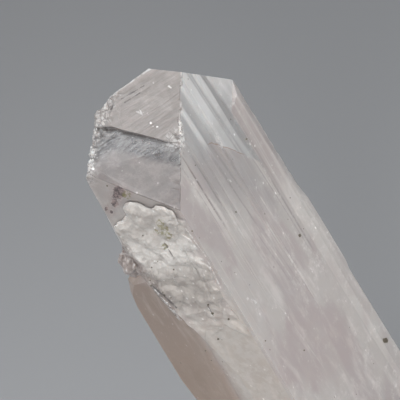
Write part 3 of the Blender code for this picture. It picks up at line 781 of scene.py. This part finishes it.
    def lay_glints(self):
        """White glints on single flakes."""
        at = self.at
        share = at.crust * 0.35 + self.shattered * 0.28 + self.granular * 0.7
        share = share + self.strewn * 0.25
        share = share + self.wander.rising(0.58, 0.66) * at.on_dome * 0.8
        self.glints = self.pick.rising(0.90, 0.94) * self.flake.rising(0.42, 0.22)
        self.glints = self.glints * share.capped()
        self.lay(self.glints, GLINT_WHITE)

    def clear_share(self):
        """How much of the substance is clear glass."""
        clear = 0.30 + self.glassy * 0.10 + self.low_dome * 0.04 + self.hollow * 0.15
        clear = clear + self.amber * 0.12 - self.veils.rising(0.5, 0.75) * 0.15
        clear = clear - self.granular * 0.2 - self.at.crust * 0.5 - self.shattered * 0.15
        return (clear - self.glints - self.specks - self.ledge - self.purple).capped()

    def bumps(self):
        """The finest relief."""
        relief = self.fine * (0.3 + self.at.crust * 0.5) + self.grain * self.shattered * 0.8
        relief = relief + self.curds * 0.3 + self.ridged * self.upper_dome * 0.7
        inputs = {"Strength": 0.35, "Distance": 0.2 * MM, "Height": relief}
        return self.kit.node("ShaderNodeBump", None, inputs)

    def material(self):
        """Lays every zone and makes the surface and the volume."""
        kit = self.kit
        for lay_zone in (
            self.lay_milk, self.lay_face_tones, self.lay_growth_lines, self.lay_glassy_top,
            self.lay_dome, self.lay_shards, self.lay_dome_rim_highlights, self.lay_crust,
            self.lay_amber_side, self.lay_marks, self.lay_stains, self.lay_glints,
        ):
            lay_zone()
        bump = self.bumps()
        glass = kit.node("ShaderNodeBsdfPrincipled", None, {
            "Base Color": kit.colour(GLASS), "Roughness": 0.09, "IOR": IOR,
            "Transmission Weight": 1.0, "Normal": bump,
        })
        gloss = 0.34 + self.at.crust * 0.12 - self.glints * 0.2
        solid = kit.node("ShaderNodeBsdfPrincipled", None, {
            "Base Color": self.body, "Roughness": gloss, "IOR": IOR, "Normal": bump,
            "Subsurface Weight": 0.4, "Subsurface Radius": SCATTER_RADIUS,
            "Subsurface Scale": 1.0,
        })
        surface = kit.node("ShaderNodeMixShader", None, {0: self.clear_share(), 1: solid, 2: glass})
        volume = kit.node("ShaderNodeVolumeAbsorption", None, {
            "Color": kit.colour(ABSORPTION), "Density": ABSORPTION_DENSITY,
        })
        kit.node("ShaderNodeOutputMaterial", None, {"Surface": surface, "Volume": volume})
        return kit.material


def floor_material(colour):
    """Plain matt floor."""
    kit = Kit("studio_floor")
    shade = kit.node("ShaderNodeBsdfPrincipled", None, {
        "Base Color": (*colour, 1.0), "Roughness": 0.9, "Specular IOR Level": 0.2,
    })
    kit.node("ShaderNodeOutputMaterial", None, {"Surface": shade})
    return kit.material


def smooth_step(low, high, value):
    """0 below low, 1 above high, smooth between."""
    share = max(0.0, min(1.0, (value - low) / (high - low)))
    return share * share * (3.0 - 2.0 * share)


def local(co):
    """A vertex's place in millimetres from the front edge's foot."""
    return co / MM - EDGE


# The crust's shelf, from its upper to its lower end, and the direction below it
SHELF_HIGH = Vector((-8.02, 8.75, 48.8))
SHELF_LOW = Vector((-5.96, 6.5, 38.4))
UNDER = Vector((0.3, 1.0, 0.2)).cross(SHELF_LOW - SHELF_HIGH).normalized()

# Points on the top ridge and on the edges behind, and the direction across the right side
RIDGE = Vector((0.0, 13.15, 70.0))
RIDGE_RIGHT = Vector((9.7, 10.98, 68.0))
SIDE_ALONG = Vector((SIDE.y, -SIDE.x, 0.0))
LEFT_EDGE = NARROW_ALONG * 11.4
REAR_EDGE = WIDE_ALONG * 23.3 + SIDE * 0.05 + CORNER

# Taper of the hidden right side, in degrees
SIDE_TAPER_DEG = 0.9

# Faces with fine growth steps: normal, direction across the steps, a point on the face,
# first and last place along that direction, mean spacing, and share of the full step
GROWN_FACES = (
    (leaning(WIDE), WIDE_ALONG, CORNER, 0.5, 19.4, 0.75, 1.0),
    (DOME, DOME_UPHILL, CORNER, 48.0, 56.5, 0.55, 0.8),
    (leaning(BACK), BACK_ALONG, Vector((-11.2, 15.0, 41.8)), -2.0, 19.0, 1.5, 1.6),
    (leaning(BACK), BACK_ALONG, LEFT_EDGE + CORNER, 1.5, 22.0, 1.3, 1.6),
    (leaning(SIDE, SIDE_TAPER_DEG), SIDE_ALONG, REAR_EDGE, -13.0, -2.4, 0.9, 1.4),
)
# Edges with small nicks: a point on the edge and the normals of its two faces
WORN_EDGES = (
    (CORNER, DOME, leaning(WIDE)),
    (RIDGE, DOME, BACK_DOME),
    (RIDGE_RIGHT, leaning(WIDE), RIGHT_CUT),
    (REAR_EDGE, leaning(WIDE), leaning(SIDE, SIDE_TAPER_DEG)),
)
# How far below its face a growth step may lie, and the run of the slope between two steps
TREAD_REACH = 0.36
STEP_RUN = 0.05
# How near to both faces a worn edge reaches
EDGE_REACH = 0.12
# The foot stays flat up to this height
FOOT_BAND = 0.5
# An edge is halved past this share of its wanted length, but not on a sliver, in square metres
TOO_LONG = 1.4
SLIVER = 5e-10
REFINE_ROUNDS = 10


def crust_share(place):
    """1 on the crust that stands out of the narrow face, 0 away from it."""
    height = (place - CORNER).dot(leaning(NARROW))
    raised = smooth_step(0.05, 0.35, height)
    inside = 1.0 - smooth_step(-0.2, 0.4, (place - SHELF_HIGH).dot(UNDER))
    return raised * inside * smooth_step(20.0, 38.0, place.z)


def break_share(place):
    """1 on the broken upper left shoulder, 0 away from it."""
    over = (place - dome_place(-5.0, 12.5)).dot(Vector((-0.62, 0.47, 0.63)))
    high = smooth_step(56.0, 60.0, place.z)
    left = 1.0 - smooth_step(1.5, 4.0, place.x)
    return smooth_step(-1.4, -0.2, over) * high * left


def lobe_share(place):
    """1 on the lobe at the crust's left end, 0 away from it."""
    return 1.0 - smooth_step(2.0, 3.6, (place - LOBE_CENTRE).length)


def merged_copy():
    """The CAD solid's surface as one closed mesh."""
    bm = bmesh.new()
    bm.from_mesh(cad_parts[NODE].data)
    bmesh.ops.remove_doubles(bm, verts=bm.verts[:], dist=TOUCH)
    return bm


def refine(bm, settings):
    """Halves the long edges until each place has its mesh."""
    for _ in range(REFINE_ROUNDS):
        long_edges = []
        for edge in bm.edges:
            length = edge.calc_length()
            if length <= settings.crust_mesh * TOO_LONG:
                continue
            place = local((edge.verts[0].co + edge.verts[1].co) * 0.5)
            share = max(crust_share(place), break_share(place), lobe_share(place))
            wanted = settings.crust_mesh if share > 0.15 else settings.plain_mesh
            if worn_edge(place) is not None:
                wanted = min(wanted, settings.edge_mesh)
            smallest = min(face.calc_area() for face in edge.link_faces)
            if length > wanted * TOO_LONG and smallest > SLIVER:
                long_edges.append(edge)
        if not long_edges:
            break
        bmesh.ops.subdivide_edges(bm, edges=long_edges, cuts=1, use_grid_fill=False)
        bmesh.ops.triangulate(bm, faces=bm.faces[:])


def on_face(face, normal, point):
    """True for a mesh face that lies in the plane, or a little below it."""
    if face.normal.dot(normal) < 0.999:
        return False
    depth = (point - local(face.calc_center_median())).dot(normal)
    return -0.05 < depth < TREAD_REACH


def grow_lines(bm, face, rng):
    """Rules the edges of fine growth steps across one crystal face."""
    normal, along, point, start, end, spacing, _ = face
    lines = []
    place = start
    while place < end:
        for offset in (0.0, STEP_RUN):
            flat = [f for f in bm.faces if on_face(f, normal, point)]
            edges = dict.fromkeys(edge for f in flat for edge in f.edges)
            verts = dict.fromkeys(vert for f in flat for vert in f.verts)
            cut = (point + along * (place + offset - point.dot(along)) + EDGE) * MM
            bmesh.ops.bisect_plane(
                bm, geom=flat + list(edges) + list(verts), dist=TOUCH,
                plane_co=cut, plane_no=along,
            )
        lines.append(place)
        place += spacing * rng.uniform(0.3, 1.9)
    return lines


def sink_steps(bm, face, lines, depths, step):
    """Sinks each strip between two growth lines by its own depth."""
    normal, along, point, *_, share = face
    for vert in bm.verts:
        place = local(vert.co)
        depth = (point - place).dot(normal)
        if not -0.01 < depth < TREAD_REACH or place.z < FOOT_BAND:
            continue
        if max(f.normal.dot(normal) for f in vert.link_faces) < 0.99:
            continue
        strip = sum(1 for line in lines if line + STEP_RUN * 0.5 < place.dot(along))
        if not 0 < strip < len(lines):
            continue
        run = 0.5 + 0.9 * noise.noise(Vector((strip * 3.1, 0.0, place.z * 0.06)))
        if along == WIDE_ALONG:
            run *= 0.2 + 0.8 * smooth_step(30.0, 48.0, place.z)
        vert.co -= normal * depths[strip] * step * share * max(0.0, min(1.0, run))


def worn_edge(place):
    """The outward direction of the worn edge that a place lies on, or None."""
    for point, first, second in WORN_EDGES:
        away = place - point
        if max(abs(away.dot(first)), abs(away.dot(second))) < EDGE_REACH:
            return (first + second).normalized()
    return None


def wear_edges(bm, settings):
    """Nicks along the crystal's edges."""
    for vert in bm.verts:
        place = local(vert.co)
        if place.z < FOOT_BAND:
            continue
        out = worn_edge(place)
        if out is not None:
            nick = noise.noise(place * 1.3) + 0.6 * noise.noise(place * 3.1)
            vert.co -= out * settings.edge_wear * max(0.0, nick + 0.12)


def rough_height(point, size, octaves):
    """Angular relief, from about -1 to 1, with finer and finer grains."""
    total = 0.0
    weight = 1.0
    point = point + noise.noise_vector(point * 0.55) * size
    for step in range(octaves):
        place = point / size + Vector((step * 3.7, step * 1.3, -step * 2.1))
        total += weight * (0.35 - 0.7 * noise.voronoi(place)[0][0] + 0.8 * noise.noise(place))
        size *= 0.5
        weight *= 0.55
    return total


def roughen(bm, settings):
    """Grains on the crust and the lobe, and splinters on the broken shoulder."""
    bm.normal_update()
    low, high = CAD_BOX
    for vert in bm.verts:
        place = local(vert.co)
        if place.z < FOOT_BAND:
            continue
        crust = crust_share(place)
        broken = break_share(place)
        lobe = lobe_share(place)
        if crust + broken + lobe <= 0.01:
            continue
        lift = crust * settings.crust_grain * rough_height(place, 1.1, 4)
        lift *= 0.4 + 0.6 * smooth_step(43.0, 49.0, place.z)
        lift += broken * settings.break_grain * rough_height(place, 1.0, 3)
        lift += lobe * settings.crust_grain * 5.5 * (noise.noise(place * 0.9) - 0.25)
        lift += lobe * settings.crust_grain * 1.4 * rough_height(place, 0.9, 3)
        vert.co += vert.normal * lift
        vert.co = Vector(min(max(c, a), b) for c, a, b in zip(vert.co, low, high))


def mark_shares(mesh):
    """Gives each vertex its share of crust and of broken surface."""
    crust = mesh.attributes.new("crust", "FLOAT", "POINT")
    broken = mesh.attributes.new("broken", "FLOAT", "POINT")
    for vertex in mesh.vertices:
        place = local(vertex.co)
        crust.data[vertex.index].value = crust_share(place)
        broken.data[vertex.index].value = break_share(place)


class OBJECT_OT_danburite_crystal(bpy.types.Operator):
    """Grow the crystal's fine surface over its solid"""

    bl_idname = "object.danburite_crystal"
    bl_label = "Danburite Crystal"

    def execute(self, context):
        settings = context.scene.danburite_crystal
        rng = random.Random(settings.seed)
        bm = merged_copy()
        ruled = [(face, grow_lines(bm, face, rng)) for face in GROWN_FACES]
        refine(bm, settings)
        for face, lines in ruled:
            depths = [rng.random() for _ in range(len(lines) + 1)]
            sink_steps(bm, face, lines, depths, settings.growth_step)
        wear_edges(bm, settings)
        roughen(bm, settings)
        bmesh.ops.triangulate(bm, faces=bm.faces[:])
        mesh = bpy.data.meshes.new("grown_crystal")
        bm.to_mesh(mesh)
        bm.free()
        mark_shares(mesh)
        mesh.materials.append(Substance(context.scene.danburite_colours).material())
        crystal = bpy.data.objects.new("grown_crystal", mesh)
        context.scene.collection.objects.link(crystal)
        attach(crystal, "root")
        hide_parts(NODE)
        return {"FINISHED"}


def hang(light, place, aim):
    """Hangs a light at its place and turns it to its aim."""
    lamp = bpy.data.objects.new(light.name, light)
    lamp.location = place
    lamp.rotation_mode = "QUATERNION"
    lamp.rotation_quaternion = (Vector(place) - Vector(aim)).to_track_quat("Z", "Y")
    bpy.context.scene.collection.objects.link(lamp)


def soft_light(name, place, size, power, colour):
    """A round soft light that shines on the crystal."""
    light = bpy.data.lights.new(name, "AREA")
    light.shape = "DISK"
    light.size = size
    light.energy = power
    light.color = colour
    hang(light, place, LIGHT_AIM)


def floor_pool(place, aim, angle, power):
    """A soft pool of light on the floor, beside the crystal."""
    light = bpy.data.lights.new("pool", "SPOT")
    light.energy = power
    light.spot_size = math.radians(angle)
    light.spot_blend = 1.0
    light.shadow_soft_size = POOL_SOFTNESS
    hang(light, place, aim)


# Studio, in metres: each soft light's name, place, size, power in watts and colour
LIGHT_AIM = (0.0, 0.0, 0.04)
SOFT_LIGHTS = (
    ("key", (0.95, -0.75, 0.42), 0.5, 11.0, (1.0, 0.985, 0.97)),
    ("fill", (-0.45, -1.05, 0.32), 0.6, 9.0, (1.0, 0.975, 0.95)),
    ("top", (0.1, -0.2, 1.25), 0.7, 3.6, (0.97, 0.985, 1.0)),
    ("rear", (-0.5, 0.9, 0.5), 0.5, 3.0, (1.0, 1.0, 1.0)),
)
# The floor's pool of light: place, aim, angle in degrees and power
POOL = ((-0.45, 0.05, 0.9), (-0.085, 0.01, 0.0), 17.0, 44.0)
POOL_SOFTNESS = 0.12
SKY = (0.86, 0.89, 0.92)
SKY_STRENGTH = 0.27
FLOOR_SIZE = 60.0
SENSOR = 36.0
PICTURE_WIDTH = 50.0 * MM
# Height on the front edge from which the camera finds the picture's middle
CAMERA_CORNER_Z = 58.3


def studio_camera(settings):
    """The camera of the photograph: it looks down on the crystal, rolled to its left."""
    axes = sight_axes(settings.camera_heading, settings.camera_height, settings.camera_roll)
    level_right, level_up, right, up, forward = axes
    corner = (EDGE + Vector((0.0, 0.0, CAMERA_CORNER_Z))) * MM
    middle = corner + (level_right * SIGHT_RIGHT - level_up * SIGHT_DOWN) * MM
    data = bpy.data.cameras.new("studio_camera")
    data.sensor_width = SENSOR
    data.lens = SENSOR * settings.camera_distance / PICTURE_WIDTH
    data.clip_start = 0.05
    data.clip_end = 50.0
    camera = bpy.data.objects.new("studio_camera", data)
    turn = Matrix((right, up, -forward)).transposed().to_4x4()
    turn.translation = middle - forward * settings.camera_distance
    camera.matrix_world = turn
    bpy.context.scene.collection.objects.link(camera)
    bpy.context.scene.camera = camera


class OBJECT_OT_danburite_stage(bpy.types.Operator):
    """Lay the plain floor and set the soft lights and the camera"""

    bl_idname = "object.danburite_stage"
    bl_label = "Danburite Stage"

    def execute(self, context):
        settings = context.scene.danburite_stage
        bm = bmesh.new()
        bmesh.ops.create_grid(bm, x_segments=1, y_segments=1, size=FLOOR_SIZE * 0.5)
        mesh = bpy.data.meshes.new("studio_floor")
        bm.to_mesh(mesh)
        bm.free()
        mesh.materials.append(floor_material(settings.floor))
        floor = bpy.data.objects.new("studio_floor", mesh)
        context.scene.collection.objects.link(floor)

        world = bpy.data.worlds.new("studio")
        context.scene.world = world
        world.use_nodes = True
        background = world.node_tree.nodes["Background"]
        background.inputs["Color"].default_value = (*SKY, 1.0)
        background.inputs["Strength"].default_value = SKY_STRENGTH

        for light in SOFT_LIGHTS:
            soft_light(*light)
        floor_pool(*POOL)
        studio_camera(settings)
        context.scene.view_settings.view_transform = "Standard"
        return {"FINISHED"}


class VIEW3D_PT_danburite(bpy.types.Panel):
    """Settings and pieces of the danburite crystal"""

    bl_idname = "VIEW3D_PT_danburite"
    bl_label = "Danburite Crystal"
    bl_space_type = "VIEW_3D"
    bl_region_type = "UI"
    bl_category = "Danburite"

    def draw(self, context):
        scene = context.scene
        groups = (scene.danburite_crystal, scene.danburite_colours, scene.danburite_stage)
        for group in groups:
            box = self.layout.box()
            for name in group.bl_rna.properties.keys():
                if name not in ("rna_type", "name"):
                    box.prop(group, name)
        self.layout.operator(OBJECT_OT_danburite_crystal.bl_idname)
        self.layout.operator(OBJECT_OT_danburite_stage.bl_idname)


CLASSES = (
    CrystalSettings,
    ColourSettings,
    StageSettings,
    OBJECT_OT_danburite_crystal,
    OBJECT_OT_danburite_stage,
    VIEW3D_PT_danburite,
)


def register():
    for kind in CLASSES:
        bpy.utils.register_class(kind)
    scene = bpy.types.Scene
    scene.danburite_crystal = bpy.props.PointerProperty(type=CrystalSettings)
    scene.danburite_colours = bpy.props.PointerProperty(type=ColourSettings)
    scene.danburite_stage = bpy.props.PointerProperty(type=StageSettings)


def unregister():
    del bpy.types.Scene.danburite_stage
    del bpy.types.Scene.danburite_colours
    del bpy.types.Scene.danburite_crystal
    for kind in reversed(CLASSES):
        bpy.utils.unregister_class(kind)


def main():
    register()
    bpy.ops.object.danburite_crystal()
    bpy.ops.object.danburite_stage()
    bpy.context.view_layer.update()


if __name__ == "__main__":
    main()
